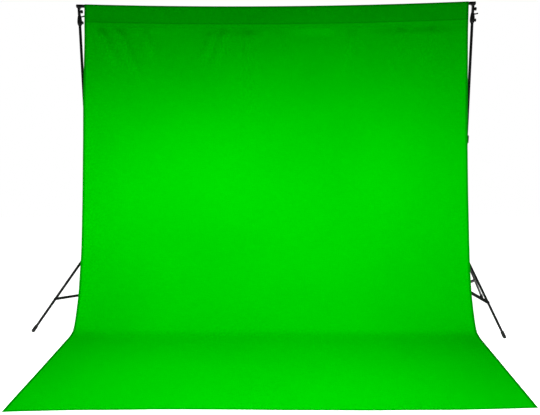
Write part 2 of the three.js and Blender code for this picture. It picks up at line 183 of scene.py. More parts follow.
def blackPaint():
    # stove enamel on tube: fine orange peel, rubbed paler along the length by sliding and packing
    look = {"colour": (0.0035, 0.0035, 0.0038, 1), "rubbed": (0.02, 0.02, 0.021, 1), "peel": 900}
    finish = Finish("blackPaint", Metallic=0.0, Specular_IOR_Level=0.12)
    place = finish.place()
    grime = finish.noise(place, 14, 4)
    scuffs = finish.noise(finish.stretch(place, (420, 420, 18)), 1.0, 5, 0.6)
    worn = scuffs.smooth(0.6, 0.74) * grime.smooth(0.42, 0.62)
    finish.set("Base Color", finish.mix(worn * 0.7, look["colour"], look["rubbed"]))
    finish.set("Roughness", (0.3 + grime * 0.16 + worn * 0.22).clamp())
    finish.bump(finish.noise(place, look["peel"], 1), 0.00006, 0.5)
    return finish.material


def blackPlastic():
    # moulded nylon: spark-eroded grain and a little dust in it
    look = {"colour": (0.004, 0.004, 0.0043, 1), "dust": (0.018, 0.018, 0.018, 1), "grain": 2300}
    finish = Finish("blackPlastic", Metallic=0.0, Specular_IOR_Level=0.12)
    place = finish.place()
    dust = finish.noise(place, 55, 5, 0.6).smooth(0.52, 0.75)
    grain = finish.noise(place, look["grain"], 2, 0.7)
    finish.set("Base Color", finish.mix(dust * 0.55, look["colour"], look["dust"]))
    finish.set("Roughness", (0.46 + dust * 0.2 + grain * 0.1).clamp())
    finish.bump(grain, 0.00009, 0.6)
    return finish.material


def blackRubber():
    # foot caps: matt, dusty, scuffed towards the floor
    look = {"colour": (0.005, 0.005, 0.005, 1), "dust": (0.05, 0.049, 0.047, 1)}
    finish = Finish("blackRubber", Metallic=0.0, Specular_IOR_Level=0.2)
    place = finish.place()
    low = finish.parts(place)[2].smooth(0.0, 0.02, 1.0, 0.1)
    dust = finish.noise(place, 160, 5, 0.65).smooth(0.4, 0.72) * low
    finish.set("Base Color", finish.mix(dust, look["colour"], look["dust"]))
    finish.set("Roughness", (0.72 + dust * 0.2).clamp())
    finish.bump(finish.noise(place, 1400, 3), 0.00012, 0.6)
    return finish.material


def greenCloth(cut):
    # plain-woven cotton, dyed green: slub, weave, its double-cloth hems drawn darker, painted shade over the
    # double-cloth pocket in place of the light from behind that shines through the single cloth below, and its
    # stitching
    look = {"green": (0.0, 0.44, 0.0, 1), "deep": (0.0, 0.2, 0.001, 1), "warp": 900, "hem": 0.018}
    finish = Finish("greenCloth", Roughness=0.95, Specular_IOR_Level=0.0)
    across, along, _ = finish.parts(finish.place("UV"))
    across = across * cut["width"]
    along = along * cut["length"]
    flatPlace = finish.add("CombineXYZ", None, {"X": across, "Y": along})
    cloud = finish.noise(flatPlace, 1.1, 3, 0.5)
    slubs = finish.noise(finish.stretch(flatPlace, (420, 9, 1)), 1.0, 3, 0.6)
    slubsAcross = finish.noise(finish.stretch(flatPlace, (9, 420, 1)), 1.0, 3, 0.6)
    warp = (across * (2 * math.pi * look["warp"])).sine()
    weft = (along * (2 * math.pi * look["warp"])).sine()
    weave = warp * weft
    edge = finish.add("Math", {"operation": "MINIMUM"}, {0: across, 1: cut["width"] - across})
    front = cut["length"] - along
    nearest = finish.add("Math", {"operation": "MINIMUM"}, {0: edge, 1: front})
    hem = nearest.smooth(look["hem"], look["hem"] + 0.002, 1.0, 0.0)
    # painted shade: the pocket band is darkened, since no light from behind comes through its double cloth here
    pocket = along.smooth(cut["pocket"], cut["pocket"] + 0.006, 1.0, 0.0)
    seam = (along - cut["pocket"]).size().smooth(0.002, 0.006, 1.0, 0.0)
    uneven = cloud.smooth(0.3, 0.7) * 0.1 + (slubs + slubsAcross) * 0.08 + weave * 0.03
    # the cloth's own uneven tone, the darker hems and seam, and the pocket's painted shade
    shade = (uneven + hem * 0.5 + pocket * 0.28 + seam * 0.3).clamp()
    finish.set("Base Color", finish.mix(shade, look["green"], look["deep"]))
    finish.bump(weave * 0.35 + slubs + slubsAcross, 0.0003, 0.35)
    return finish.material


def greenThread():
    finish = Finish("greenThread", Roughness=0.7, Specular_IOR_Level=0.1)
    ply = finish.noise(finish.place(), 2600, 2)
    finish.set("Base Color", finish.mix(ply, (0.0, 0.16, 0.01, 1), (0.005, 0.3, 0.015, 1)))
    finish.bump(ply, 0.0001, 0.5)
    return finish.material


def paleFloor():
    # a white studio floor, lit until it runs out into white
    finish = Finish("paleFloor", Roughness=0.8, Specular_IOR_Level=0.1, Emission_Strength=0.92)
    cloud = finish.noise(finish.place(), 0.6, 2)
    finish.set("Base Color", finish.mix(cloud, (0.93, 0.93, 0.93, 1), (0.96, 0.96, 0.96, 1)))
    finish.set("Emission Color", finish.mix(cloud, (0.98, 0.98, 0.98, 1), (1, 1, 1, 1)))
    return finish.material


# the cloth's cut, and how it hangs
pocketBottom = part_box("backdrop_pocket")[0].z + barSag - 0.034  # the stitch, a little below the solid
cloth = {
    "width": 3.2,
    "length": 4.05,
    "pocket": 0.326,  # from one edge of the pocket to the other, over the bar
    "thickness": 0.0009,
    "pocketRadius": 0.0146,  # where the cloth runs over the bar
    "across": 150,
    "along": 230,
}

paint = blackPaint()
plastic = blackPlastic()
rubber = blackRubber()
green = greenCloth(cloth)
thread = greenThread()
print("finishes made")


def finished(name, bm, material, body, nodes=(), modifiers=(), turn=40):
    # a bmesh, in the frame's place, as a piece that rides on a body
    bmesh.ops.remove_doubles(bm, verts=bm.verts, dist=0.000002)
    mesh = bpy.data.meshes.new(name)
    bm.to_mesh(mesh)
    bm.free()
    mesh.materials.append(material)
    piece = bpy.data.objects.new(name, mesh)
    bpy.context.scene.collection.objects.link(piece)
    mesh.shade_smooth()
    mesh.set_sharp_from_angle(angle=math.radians(turn))
    for kind, settings in modifiers:
        modifier = piece.modifiers.new(kind.title(), kind)
        for key, value in settings.items():
            setattr(modifier, key, value)
    if body:
        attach(piece, body)
    if nodes:
        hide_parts(*nodes)
    return piece


def turned(bm, section, steps=48):
    # spins a section of (radius, height) points about Z; a section off the axis closes on itself
    verts = [bm.verts.new((radius, 0, height)) for radius, height in section]
    closed = section[0][0] > 0
    pairs = list(zip(verts, verts[1:])) + ([(verts[-1], verts[0])] if closed else [])
    edges = [bm.edges.new(pair) for pair in pairs]
    bmesh.ops.spin(
        bm, geom=verts + edges, cent=(0, 0, 0), axis=(0, 0, 1),
        angle=2 * math.pi, steps=steps, use_merge=True,
    )
    bmesh.ops.remove_doubles(bm, verts=bm.verts, dist=0.000001)
    bmesh.ops.recalc_face_normals(bm, faces=bm.faces)
    return bm


def lathe(section, steps=48, matrix=Matrix()):
    bm = turned(bmesh.new(), section, steps)
    bmesh.ops.transform(bm, matrix=matrix, verts=bm.verts)
    return bm


def block(size, place, soft):
    bm = bmesh.new()
    bmesh.ops.create_cube(bm, size=1.0)
    bmesh.ops.scale(bm, vec=size, verts=bm.verts)
    bmesh.ops.bevel(
        bm, geom=bm.edges[:], offset=soft, segments=3, profile=0.5, affect="EDGES", material=-1,
    )
    bmesh.ops.translate(bm, vec=place, verts=bm.verts)
    return bm


def plate(outline, thickness, soft):
    # a flat outline of (x, z) points, given a thickness along Y and soft edges
    bm = bmesh.new()
    face = bm.faces.new([bm.verts.new((x, -thickness / 2, z)) for x, z in outline])
    grown = bmesh.ops.extrude_face_region(bm, geom=[face])["geom"]
    lifted = [part for part in grown if isinstance(part, bmesh.types.BMVert)]
    bmesh.ops.translate(bm, vec=(0, thickness, 0), verts=lifted)
    bmesh.ops.recalc_face_normals(bm, faces=bm.faces)
    rims = [e for e in bm.edges if abs(e.verts[0].co.y - e.verts[1].co.y) < 1e-7]
    bmesh.ops.bevel(bm, geom=rims, offset=soft, segments=2, profile=0.5, affect="EDGES", material=-1)
    return bm


def arc(x, z, radius, start, end, steps):
    span = math.radians(end - start)
    angles = [math.radians(start) + span * i / steps for i in range(steps + 1)]
    return [(x + radius * math.cos(a), z + radius * math.sin(a)) for a in angles]


def merged(*parts):
    whole = bmesh.new()
    for part in parts:
        mesh = bpy.data.meshes.new("part")
        part.to_mesh(mesh)
        part.free()
        whole.from_mesh(mesh)
        bpy.data.meshes.remove(mesh)
    return whole


layAlongX = Matrix.Rotation(math.pi / 2, 4, "Y")  # what was spun about Z points along +X
layAlongY = Matrix.Rotation(-math.pi / 2, 4, "X")  # or along +Y


def rounded(radius, low, high, soft):  # section of a solid disc with softened rims
    near = soft * 0.3
    return [
        (0, low), (radius - soft, low), (radius - near, low + near), (radius, low + soft),
        (radius, high - soft), (radius - near, high - near), (radius - soft, high), (0, high),
    ]


def pipe(inner, outer, low, high, soft):  # section of a tube with softened ends
    return [
        (inner, low + soft), (inner + soft, low), (outer - soft, low), (outer, low + soft),
        (outer, high - soft), (outer - soft, high), (inner + soft, high), (inner, high - soft),
    ]


def drawn(outline, length, soft):
    # a flat outline of (y, z) points, drawn along +X from the origin
    bm = plate(outline, length, soft)
    bmesh.ops.rotate(bm, verts=bm.verts, cent=(0, 0, 0), matrix=Matrix.Rotation(-math.pi / 2, 3, "Z"))
    bmesh.ops.translate(bm, verts=bm.verts, vec=(length / 2, 0, 0))
    bmesh.ops.recalc_face_normals(bm, faces=bm.faces)
    return bm


def put(bm, matrix):
    bmesh.ops.transform(bm, matrix=matrix, verts=bm.verts)
    return bm


def flatPlace(angle, height):  # turned about a column's axis and raised, before the stand is put in its place
    return Matrix.Translation((0, 0, height)) @ Matrix.Rotation(angle, 4, "Z")


def radiusOf(node):
    low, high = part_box(node)
    return (high.x - low.x) / 2


def jointHeight(side, part):
    return joints["%s_%s" % (side, part)]["pos_m"][2]


tubes = {"soft": 0.0004, "wall": 0.001}


def tube(side, which, body):
    node = side + "_" + which + "_tube"
    low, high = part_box(node)
    radius = radiusOf(node)
    section = pipe(radius - tubes["wall"], radius, low.z, high.z, tubes["soft"])
    finished(node + "_fine", lathe(section, 48, standPlace(side)), paint, body, [node])


plug = {"soft": 0.0015, "flange": 0.0076, "inset": 0.0015, "tip": 0.0006}


def columnPlug(side):
    node = side + "_column_plug"
    low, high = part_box(node)
    radius = radiusOf(node)
    top = low.z + plug["flange"]
    flange = rounded(radius, low.z, top, plug["soft"])
    body = rounded(radius - plug["inset"], top - plug["tip"], high.z, plug["tip"])
    bm = put(merged(lathe(flange), lathe(body)), standPlace(side))
    finished(node + "_fine", bm, plastic, "base_columns", [node])


for side in sides:
    tube(side, "base", "base_columns")
    tube(side, "mid", side + "_mid")
    tube(side, "top", "raised_frame")
    columnPlug(side)
print("tubes made")

# each leg is drawn along +X from its pin and then turned down and round
leg = {"length": 0.752, "depth": 0.020, "width": 0.014, "corner": 0.0052, "soft": 0.0004, "noseSoft": 0.002}
rivet = {"shank": 0.003, "head": 0.0052, "rise": 0.0018, "edge": 0.0003, "ears": 0.0124}


def slope(side):
    return math.radians(joints[side + "_leg_1_fold"]["range_deg"][1])


def legPlace(side, number):
    part = "leg_%d_fold" % number
    pin = Vector(joints[side + "_" + part]["pos_m"])
    turn = Matrix.Rotation(bearing(side, part), 4, "Z")
    return Matrix.Translation(pin) @ turn @ Matrix.Rotation(math.pi / 2 - slope(side), 4, "Y")


def tubeOutline(width, depth, corner):  # a rounded rectangle
    y = width / 2 - corner
    z = depth / 2 - corner
    return (
        arc(y, z, corner, 0, 90, 6) + arc(-y, z, corner, 90, 180, 6)
        + arc(-y, -z, corner, 180, 270, 6) + arc(y, -z, corner, 270, 360, 6)
    )


def domeHead(way, place):
    # a rivet's head along Y: flat underneath, domed outside
    radius = rivet["head"]
    edge = rivet["edge"]
    dome = [(radius * math.cos(a), edge + (rivet["rise"] - edge) * math.sin(a)) for a in (0.4, 0.8, 1.2)]
    section = [(0, 0), (radius - edge, 0), (radius, edge)] + dome + [(0, rivet["rise"])]
    turn = Matrix.Rotation(math.pi, 4, "Z") if way < 0 else Matrix()
    return lathe(section, 24, place @ turn @ layAlongY)


def headPair(spread, place=Matrix()):
    return [domeHead(way, place @ Matrix.Translation((0, way * spread, 0))) for way in (-1, 1)]


def rivetPair(spread):  # two heads and the shank between them
    shankEnd = spread + 0.0002
    shank = lathe(rounded(rivet["shank"], -shankEnd, shankEnd, 0.0001), 20, layAlongY)
    return merged(*headPair(spread), shank)


def legPiece(side, number):
    # flattened tube with a closed round nose in the hub's ears, and the rivet it turns on
    node = "%s_leg_%d" % (side, number)
    shell = drawn(tubeOutline(leg["width"], leg["depth"], leg["corner"]), leg["length"], leg["soft"])
    nose = plate(arc(0, 0, leg["depth"] / 2, 80, 280, 20), leg["width"] - leg["soft"], leg["noseSoft"])
    bm = put(merged(shell, nose, rivetPair(rivet["ears"])), legPlace(side, number))
    finished(node + "_fine", bm, paint, node, [node])


foot = {
    "radius": 0.012, "width": 0.017, "length": 0.044, "centre": 0.762, "soft": 0.0022,
    "lip": 0.0009, "lipLength": 0.004, "lipSoft": 0.001, "side": 0.0003,  # the braces fold close past its sides
    "grip": 0.0004, "gripLength": 0.0016, "gripSoft": 0.0005, "grips": (0.012, 0.018, 0.024),
}


def footBand(rise, length, soft, along):
    outline = tubeOutline(foot["width"] + foot["side"], 2 * (foot["radius"] + rise), leg["corner"])
    return put(drawn(outline, length, soft), Matrix.Translation((along, 0, 0)))


def footPiece(side, number):
    # a rubber cap with a lip round its mouth and three grips, cut flat where it stands
    leading = "%s_leg_%d" % (side, number)
    node = "%s_foot_%d" % (side, number)
    back = foot["centre"] - foot["length"]
    toe = arc(foot["centre"], 0, foot["radius"], -90, 90, 16)
    cap = plate(toe + [(back, foot["radius"]), (back, -foot["radius"])], foot["width"], foot["soft"])
    lip = footBand(foot["lip"], foot["lipLength"], foot["lipSoft"], back - 0.0005)
    grips = [
        footBand(foot["grip"], foot["gripLength"], foot["gripSoft"], foot["centre"] - step)
        for step in foot["grips"]
    ]
    bm = put(merged(cap, lip, *grips), legPlace(side, number))
    everything = bm.verts[:] + bm.edges[:] + bm.faces[:]
    sole = {"plane_co": (0, 0, 0), "plane_no": (0, 0, -1), "clear_outer": True}
    cut = bmesh.ops.bisect_plane(bm, geom=everything, **sole)["geom_cut"]
    bmesh.ops.holes_fill(bm, edges=[part for part in cut if isinstance(part, bmesh.types.BMEdge)], sides=0)
    finished(node + "_fine", bm, rubber, leading, [node])


brace = {
    "depth": 0.016, "thickness": 0.003, "gap": 0.018, "length": 0.3242, "soft": 0.0005,
    "spacer": 0.0065, "spacerSoft": 0.0003, "clear": 0.0004,
}


def linkOutline(length, radius):  # a straight bar with round ends
    return arc(length, 0, radius, -90, 90, 14) + arc(0, 0, radius, 90, 270, 14)


def bracePlace(side, number):
    joint = joints["%s_brace_%d_fold" % (side, number)]
    rise = math.radians(joint["range_deg"][1] - 90)
    turn = Matrix.Rotation(bearing(side, "leg_%d_fold" % number), 4, "Z")
    return Matrix.Translation(joint["pos_m"]) @ turn @ Matrix.Rotation(rise, 4, "Y")


def bracePiece(side, number):
    # two flat bars on a pin at the collar, with rivet heads and spacers where they hold the leg
    node = "%s_brace_%d" % (side, number)
    outside = brace["gap"] / 2 + brace["thickness"]
    middle = (brace["gap"] + brace["thickness"]) / 2
    outline = linkOutline(brace["length"], brace["depth"] / 2)
    far = Matrix.Translation((brace["length"], 0, 0))
    inside = leg["width"] / 2 + brace["clear"]
    reach = brace["gap"] / 2 + brace["clear"] / 2
    bars = []
    spacers = []
    for way in (-1, 1):
        bar = plate(outline, brace["thickness"], brace["soft"])
        bars.append(put(bar, Matrix.Translation((0, way * middle, 0))))
        low, high = sorted((way * inside, way * reach))
        washer = rounded(brace["spacer"], low, high, brace["spacerSoft"])
        spacers.append(lathe(washer, 24, far @ layAlongY))
    bm = put(merged(*bars, *headPair(outside, far), *spacers, rivetPair(outside)), bracePlace(side, number))
    finished(node + "_fine", bm, paint, node, [node])


for side in sides:
    for number in legs:
        legPiece(side, number)
        footPiece(side, number)
        bracePiece(side, number)
print("legs made")

hub = {
    "barrel": 0.021, "bore": 0.0144, "soft": 0.0012, "waist": 0.0015, "skirt": 0.006, "crown": 0.010,
    "earIn": 0.0075, "earOut": 0.012, "earRadius": 0.010, "earRoot": 0.0165, "earStep": 0.024,
    "earTop": 0.024, "earSoft": 0.0009, "pin": 0.035,
    "hole": 0.0036, "boss": 0.008, "bossSoft": 0.0008, "bossFrom": 0.015, "bossTo": 0.029,
}


def earOutline():
    root = hub["earRoot"]
    radius = hub["earRadius"]
    step = hub["earStep"]
    heel = [(root, -2 * radius), (step, -2 * radius), (hub["pin"] + 0.004, -radius)]
    return heel + arc(hub["pin"], 0, radius, -60, 90, 12) + [(step, 2 * radius), (root, hub["earTop"])]


def legHub(side):
    # moulded barrel with a skirt and a crown, a pair of ears for each leg and a boss for the knob
    node = side + "_leg_hub"
    low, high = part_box(node)
    bore = hub["bore"]
    r = hub["barrel"]
    waist = r - hub["waist"]
    section = [
        (bore, low.z + 0.001), (bore + 0.001, low.z), (r - hub["soft"], low.z), (r, low.z + hub["soft"]),
        (r, low.z + hub["skirt"]), (waist, low.z + hub["skirt"] + 0.002),
        (waist, high.z - hub["crown"] - 0.002), (r, high.z - hub["crown"]),
        (r, high.z - hub["waist"]), (waist, high.z), (bore + 0.001, high.z), (bore, high.z - 0.001),
    ]
    parts = [lathe(section)]
    middle = (hub["earOut"] + hub["earIn"]) / 2
    for number in legs:
        place = flatPlace(bearing(side, "leg_%d_fold" % number), jointHeight(side, "leg_1_fold"))
        for way in (-1, 1):
            ear = plate(earOutline(), hub["earOut"] - hub["earIn"], hub["earSoft"])
            parts.append(put(ear, place @ Matrix.Translation((0, way * middle, 0))))
    boss = pipe(hub["hole"], hub["boss"], hub["bossFrom"], hub["bossTo"], hub["bossSoft"])
    place = flatPlace(bearing(side, "hub_knob_turn"), jointHeight(side, "hub_knob_turn"))
    parts.append(lathe(boss, 32, place @ layAlongX))
    bm = put(merged(*parts), standPlace(side))
    finished(node + "_fine", bm, plastic, side + "_hub", [node])


collar = {"outer": 0.020, "bore": 0.0143, "soft": 0.0014, "lug": 0.009, "lugWidth": 0.0172, "lugSoft": 0.0012}


def braceCollar(side):
    # a ring on the base tube with a lug for each brace
    node = side + "_brace_collar"
    low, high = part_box(node)
    parts = [lathe(pipe(collar["bore"], collar["outer"], low.z, high.z, collar["soft"]))]
    root = hub["earRoot"]
    lugEnd = arc(hub["pin"], 0, collar["lug"], -90, 90, 14)
    outline = [(root, -collar["lug"])] + lugEnd + [(root, collar["lug"])]
    for number in legs:
        lug = plate(outline, collar["lugWidth"], collar["lugSoft"])
        place = flatPlace(bearing(side, "leg_%d_fold" % number), (low.z + high.z) / 2)
        parts.append(put(lug, place))
    bm = put(merged(*parts), standPlace(side))
    finished(node + "_fine", bm, plastic, "base_columns", [node])


clamp = {
    "overTube": 0.006, "grip": 0.0003, "slip": 0.0004, "ribs": 3, "ribPitch": 0.005, "ribDepth": 0.0008,
    "boss": 0.0088, "bossSide": 0.018, "bossSoft": 0.0022,
    "lug": 0.005, "lugSize": (0.012, 0.028), "lugRise": 0.018, "lugSoft": 0.0018,
}


def clampSection(low, high, tubeTop, grip, guide, outer):
    # from the bore's foot up the ribbed outside, over the shoulder and back down to the step above the tube
    groove = outer - clamp["ribDepth"]
    section = [(grip, low + 0.0008), (grip + 0.0008, low), (outer - 0.001, low), (outer, low + 0.001)]
    for rib in range(clamp["ribs"]):
        z = low + 0.006 + rib * clamp["ribPitch"]
        section += [(outer, z), (groove, z + 0.0008), (groove, z + 0.0022), (outer, z + 0.003)]
    shoulder = [(outer, high - 0.004), (outer - 0.0012, high - 0.0012), (outer - 0.003, high)]
    step = tubeTop + 0.0006
    inside = [(guide + 0.0006, high), (guide, high - 0.0006), (guide, step), (grip, step)]
    return section + shoulder + inside


def clampCollar(side, which, inside, body):
    # a ribbed sleeve that steps in above the tube's end, with a square boss for the knob and a closing lug
    node = "%s_%s_collar" % (side, which)
    outerTube = "%s_%s_tube" % (side, which)
    low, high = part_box(node)
    outer = radiusOf(outerTube) + clamp["overTube"]
    grip = radiusOf(outerTube) + clamp["grip"]
    guide = radiusOf("%s_%s_tube" % (side, inside)) + clamp["slip"]
    wall = guide + 0.002  # the boss and the lug start inside the sleeve's wall
    part = which + "_collar_knob_turn"
    turn = flatPlace(bearing(side, part), 0)
    bossEnd = outer + clamp["boss"]
    bossPlace = ((bossEnd + wall) / 2, 0, jointHeight(side, part))
    boss = block((bossEnd - wall, clamp["bossSide"], clamp["bossSide"]), bossPlace, clamp["bossSoft"])
    lugEnd = outer + clamp["lug"]
    lugPlace = (-(lugEnd + wall) / 2, 0, low.z + clamp["lugRise"])
    lug = block((lugEnd - wall, *clamp["lugSize"]), lugPlace, clamp["lugSoft"])
    sleeve = lathe(clampSection(low.z, high.z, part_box(outerTube)[1].z, grip, guide, outer))
    bm = put(merged(sleeve, put(boss, turn), put(lug, turn)), standPlace(side))
    finished(node + "_fine", bm, plastic, body, [node])


holder = {
    "bore": 0.0113, "stem": 0.0064, "hole": 0.0036,
    "bulge": (  # radius, height above its foot
        (0.0135, 0), (0.0145, 0.001), (0.0163, 0.005), (0.0178, 0.010), (0.0187, 0.017), (0.019, 0.024),
        (0.0188, 0.032), (0.0181, 0.040), (0.0168, 0.050), (0.0154, 0.060), (0.0134, 0.070),
    ),
    "rim": ((0.0118, 0.002), (0.0108, 0)),  # radius, depth below its top
    "bosses": (("holder_knob_turn", 0.007, 0.013, 0.020), ("lever_screw_turn", 0.006, 0.011, 0.0175)),
}


def screwBoss(radius, start, end, height):  # a round boss along +X
    section = pipe(holder["hole"], radius, start, end, 0.0006)
    return lathe(section, 28, flatPlace(0, height) @ layAlongX)


def barHolder(side):
    # bulged socket on the column's top, with round bosses for its two screws
    node = side + "_bar_holder"
    low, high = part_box(node)
    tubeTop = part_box(side + "_top_tube")[1].z
    stem = holder["stem"]
    bulge = [(radius, low.z + rise) for radius, rise in holder["bulge"]]
    bulge += [(radius, high.z - drop) for radius, drop in holder["rim"]]
    bore = [
        (stem + 0.0006, high.z), (stem, high.z - 0.0006), (stem, tubeTop + 0.004),
        (holder["bore"], tubeTop + 0.001), (holder["bore"], low.z + 0.0006),
    ]
    parts = [lathe(bulge + bore)]
    for part, radius, start, end in holder["bosses"]:
        parts.append(screwBoss(radius, start, end, jointHeight(side, part)))
    bm = put(merged(*parts), standPlace(side))
    finished(node + "_fine", bm, plastic, "raised_frame", [node])


cradle = {
    "width": 0.028, "reach": 0.0165, "mouth": 0.0134, "under": 0.016, "soft": 0.0009,
    "neck": (0.019, 0.024), "neckSoft": 0.0022, "stem": 0.0059, "boss": (0.007, 0.008, 0.0125),
}


def barCradle(side):
    # a fork on a narrow neck: the bar's end lies in its round floor
    node = side + "_bar_cradle"
    low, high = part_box(node)
    floor = barHeight - 0.001
    reach = cradle["reach"]
    mouth = cradle["mouth"]
    bottom = floor - cradle["under"]
    outline = (
        [(-reach + 0.003, bottom), (reach - 0.003, bottom), (reach, bottom + 0.004), (reach, high.z)]
        + [(mouth, high.z)] + arc(0, floor, mouth, 0, -180, 20)
        + [(-mouth, high.z), (-reach, high.z), (-reach, bottom + 0.004)]
    )
    fork = drawn(outline, cradle["width"], cradle["soft"])
    put(fork, Matrix.Translation((-cradle["width"] / 2, 0, 0)))
    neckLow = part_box(side + "_bar_holder")[1].z + 0.0005
    neckHigh = bottom + 0.001
    neckSize = (*cradle["neck"], neckHigh - neckLow)
    neck = block(neckSize, (0, 0, (neckLow + neckHigh) / 2), cradle["neckSoft"])
    stem = lathe(rounded(cradle["stem"], low.z, neckLow + 0.002, 0.0006), 32)
    boss = screwBoss(*cradle["boss"], jointHeight(side, "lock_knob_turn"))
    bm = put(merged(fork, neck, stem, boss), standPlace(side))
    finished(node + "_fine", bm, paint, "raised_frame", [node])


knobs = {
    "lobes": 5, "soft": 0.0018, "stud": 0.003, "thread": 0.0004,
    # grip's radius, how far out it starts, its depth, the shank behind it, where the stud starts
    "hub_knob": (0.015, 0.033, 0.013, 0.003, 0.015),
    "base_collar_knob": (0.016, 0.033, 0.013, 0.003, 0.0125),
    "mid_collar_knob": (0.016, 0.0315, 0.013, 0.003, 0.0115),
    "holder_knob": (0.0125, 0.0205, 0.008, 0, 0.0115),
    "lock_knob": (0.0135, 0.013, 0.015, 0, 0.006),
}


def lobedOutline(radius):
    angles = [2 * math.pi * i / 60 for i in range(60)]
    reaches = [radius * (0.9 + 0.1 * math.cos(knobs["lobes"] * a)) for a in angles]
    return [(reach * math.cos(a), reach * math.sin(a)) for reach, a in zip(reaches, angles)]


def knobPiece(side, which):
    # a lobed grip with soft rims and a domed cap, on a threaded stud
    node = side + "_" + which
    radius, head, depth, neck, start = knobs[which]
    grip = put(drawn(lobedOutline(radius), depth, knobs["soft"]), Matrix.Translation((head, 0, 0)))
    capSection = [
        (0, -0.001), (radius * 0.5, -0.001), (radius * 0.5, 0.0002), (radius * 0.42, 0.0009),
        (radius * 0.25, 0.0013), (0, 0.0015),
    ]
    cap = lathe(capSection, 32, Matrix.Translation((head + depth - 0.0002, 0, 0)) @ layAlongX)
    shank = lathe(rounded(radius * 0.5, head - neck, head + 0.001, 0.0005), 28, layAlongX)
    threads = [
        (knobs["stud"] - knobs["thread"] * (i % 2), start + (head - start) * i / 16) for i in range(17)
    ]
    stud = lathe([(0, start)] + threads + [(0, head)], 20, layAlongX)
    place = standPlace(side, bearing(side, which + "_turn"), jointHeight(side, which + "_turn"))
    finished(node + "_fine", put(merged(grip, cap, shank, stud), place), plastic, node, [node])


lever = {
    "lean": 14, "start": 0.0195, "stud": (0.008, 0.022),
    "grip": (  # radius, distance along it
        (0, 0), (0.004, 0), (0.005, 0.001), (0.0048, 0.008), (0.0056, 0.018), (0.0058, 0.0215),
        (0.0044, 0.0236), (0, 0.024),
    ),
}


def leverScrew(side):
    # a stud with a slim grip that leans upwards
    node = side + "_lever_screw"
    lean = Matrix.Translation((lever["start"], 0, 0)) @ Matrix.Rotation(-math.radians(lever["lean"]), 4, "Y")
    grip = lathe(list(lever["grip"]), 28, lean @ layAlongX)
    stud = lathe(rounded(knobs["stud"], *lever["stud"], 0.0004), 20, layAlongX)
    bm = put(merged(grip, stud), standPlace(side, 0, jointHeight(side, "lever_screw_turn")))
    finished(node + "_fine", bm, plastic, node, [node])


for side in sides:
    legHub(side)
    braceCollar(side)
    clampCollar(side, "base", "mid", "base_columns")
    clampCollar(side, "mid", "top", side + "_mid")
    barHolder(side)
    barCradle(side)
    for which in ("hub_knob", "base_collar_knob", "mid_collar_knob", "holder_knob", "lock_knob"):
        knobPiece(side, which)
    leverScrew(side)
print("fittings made")

bar = {
    "sections": 4, "steps": 40, "soft": 0.0006, "wall": 0.0011,
    "spigot": 0.0109, "spigotWall": 0.0012, "reach": 0.060,
}


def sagAt(x):
    return barSag * (1 - (x / columnX) ** 2)


def barSection(number):
    # one tube of the bar, bent to the curve that the bar hangs in, its reduced end inside the next tube
    node = "crossbar_section_%d" % number
    low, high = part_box(node)
    last = number == bar["sections"]
    soft = bar["soft"]
    end = high.x - (0 if last else bar["reach"])
    inner = barRadius - bar["wall"]
    lengths = [low.x + (end - low.x) * i / bar["steps"] for i in range(bar["steps"] + 1)]
    outside = [(barRadius, x) for x in lengths[1:-1]]
    inside = [(inner, x) for x in reversed(lengths[1:-1])]
    tip = [(barRadius - soft, end), (inner + soft, end)]
    if not last:
        spigot = bar["spigot"]
        hollow = spigot - bar["spigotWall"]
        tip = [
            (barRadius - soft, end), (spigot, end + 0.0002), (spigot, high.x - 0.001), (spigot - 0.001, high.x),
            (hollow, high.x), (hollow, end - 0.002),
        ]
    rim = [(inner + soft, low.x), (barRadius - soft, low.x)]
    bm = lathe(rim + outside + tip + inside, 36, layAlongX)
    for vert in bm.verts:
        vert.co += Vector((0, centre.y, barHeight - sagAt(vert.co.x - centre.x)))
    finished(node + "_fine", bm, paint, "raised_frame", [node])


endCap = {"flange": 0.0072, "rim": 0.0006, "dome": 0.0062, "plug": 0.0106, "plugSoft": 0.001}


def barCap(side):
    # a domed plastic cap whose plug sits in the bar
    node = "crossbar_cap_" + side
    low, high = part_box(node)
    way = 1 if side == "right" else -1
    size = high.x - low.x
    radius = (high.y - low.y) / 2
    back = size - endCap["flange"]
    soft = endCap["dome"]
    dome = [(radius - soft + out, size - soft + on) for out, on in arc(0, 0, soft, 0, 90, 8)]
    rim = [(0, back), (radius - endCap["rim"], back), (radius, back + endCap["rim"])]
    head = lathe(rim + dome + [(0, size)], 40)
    plugPart = lathe(rounded(endCap["plug"], 0, back + endCap["plugSoft"], endCap["plugSoft"]), 32)
    outerEnd = high.x if way > 0 else low.x
    place = Matrix.Translation((outerEnd - way * size, centre.y, (low.z + high.z) / 2))
    turn = Matrix.Rotation(way * math.pi / 2, 4, "Y")
    bm = put(merged(head, plugPart), place @ turn)
    finished(node + "_fine", bm, plastic, "raised_frame", [node])


for number in range(1, bar["sections"] + 1):
    barSection(number)
for side in sides:
    barCap(side)
print("crossbar made")


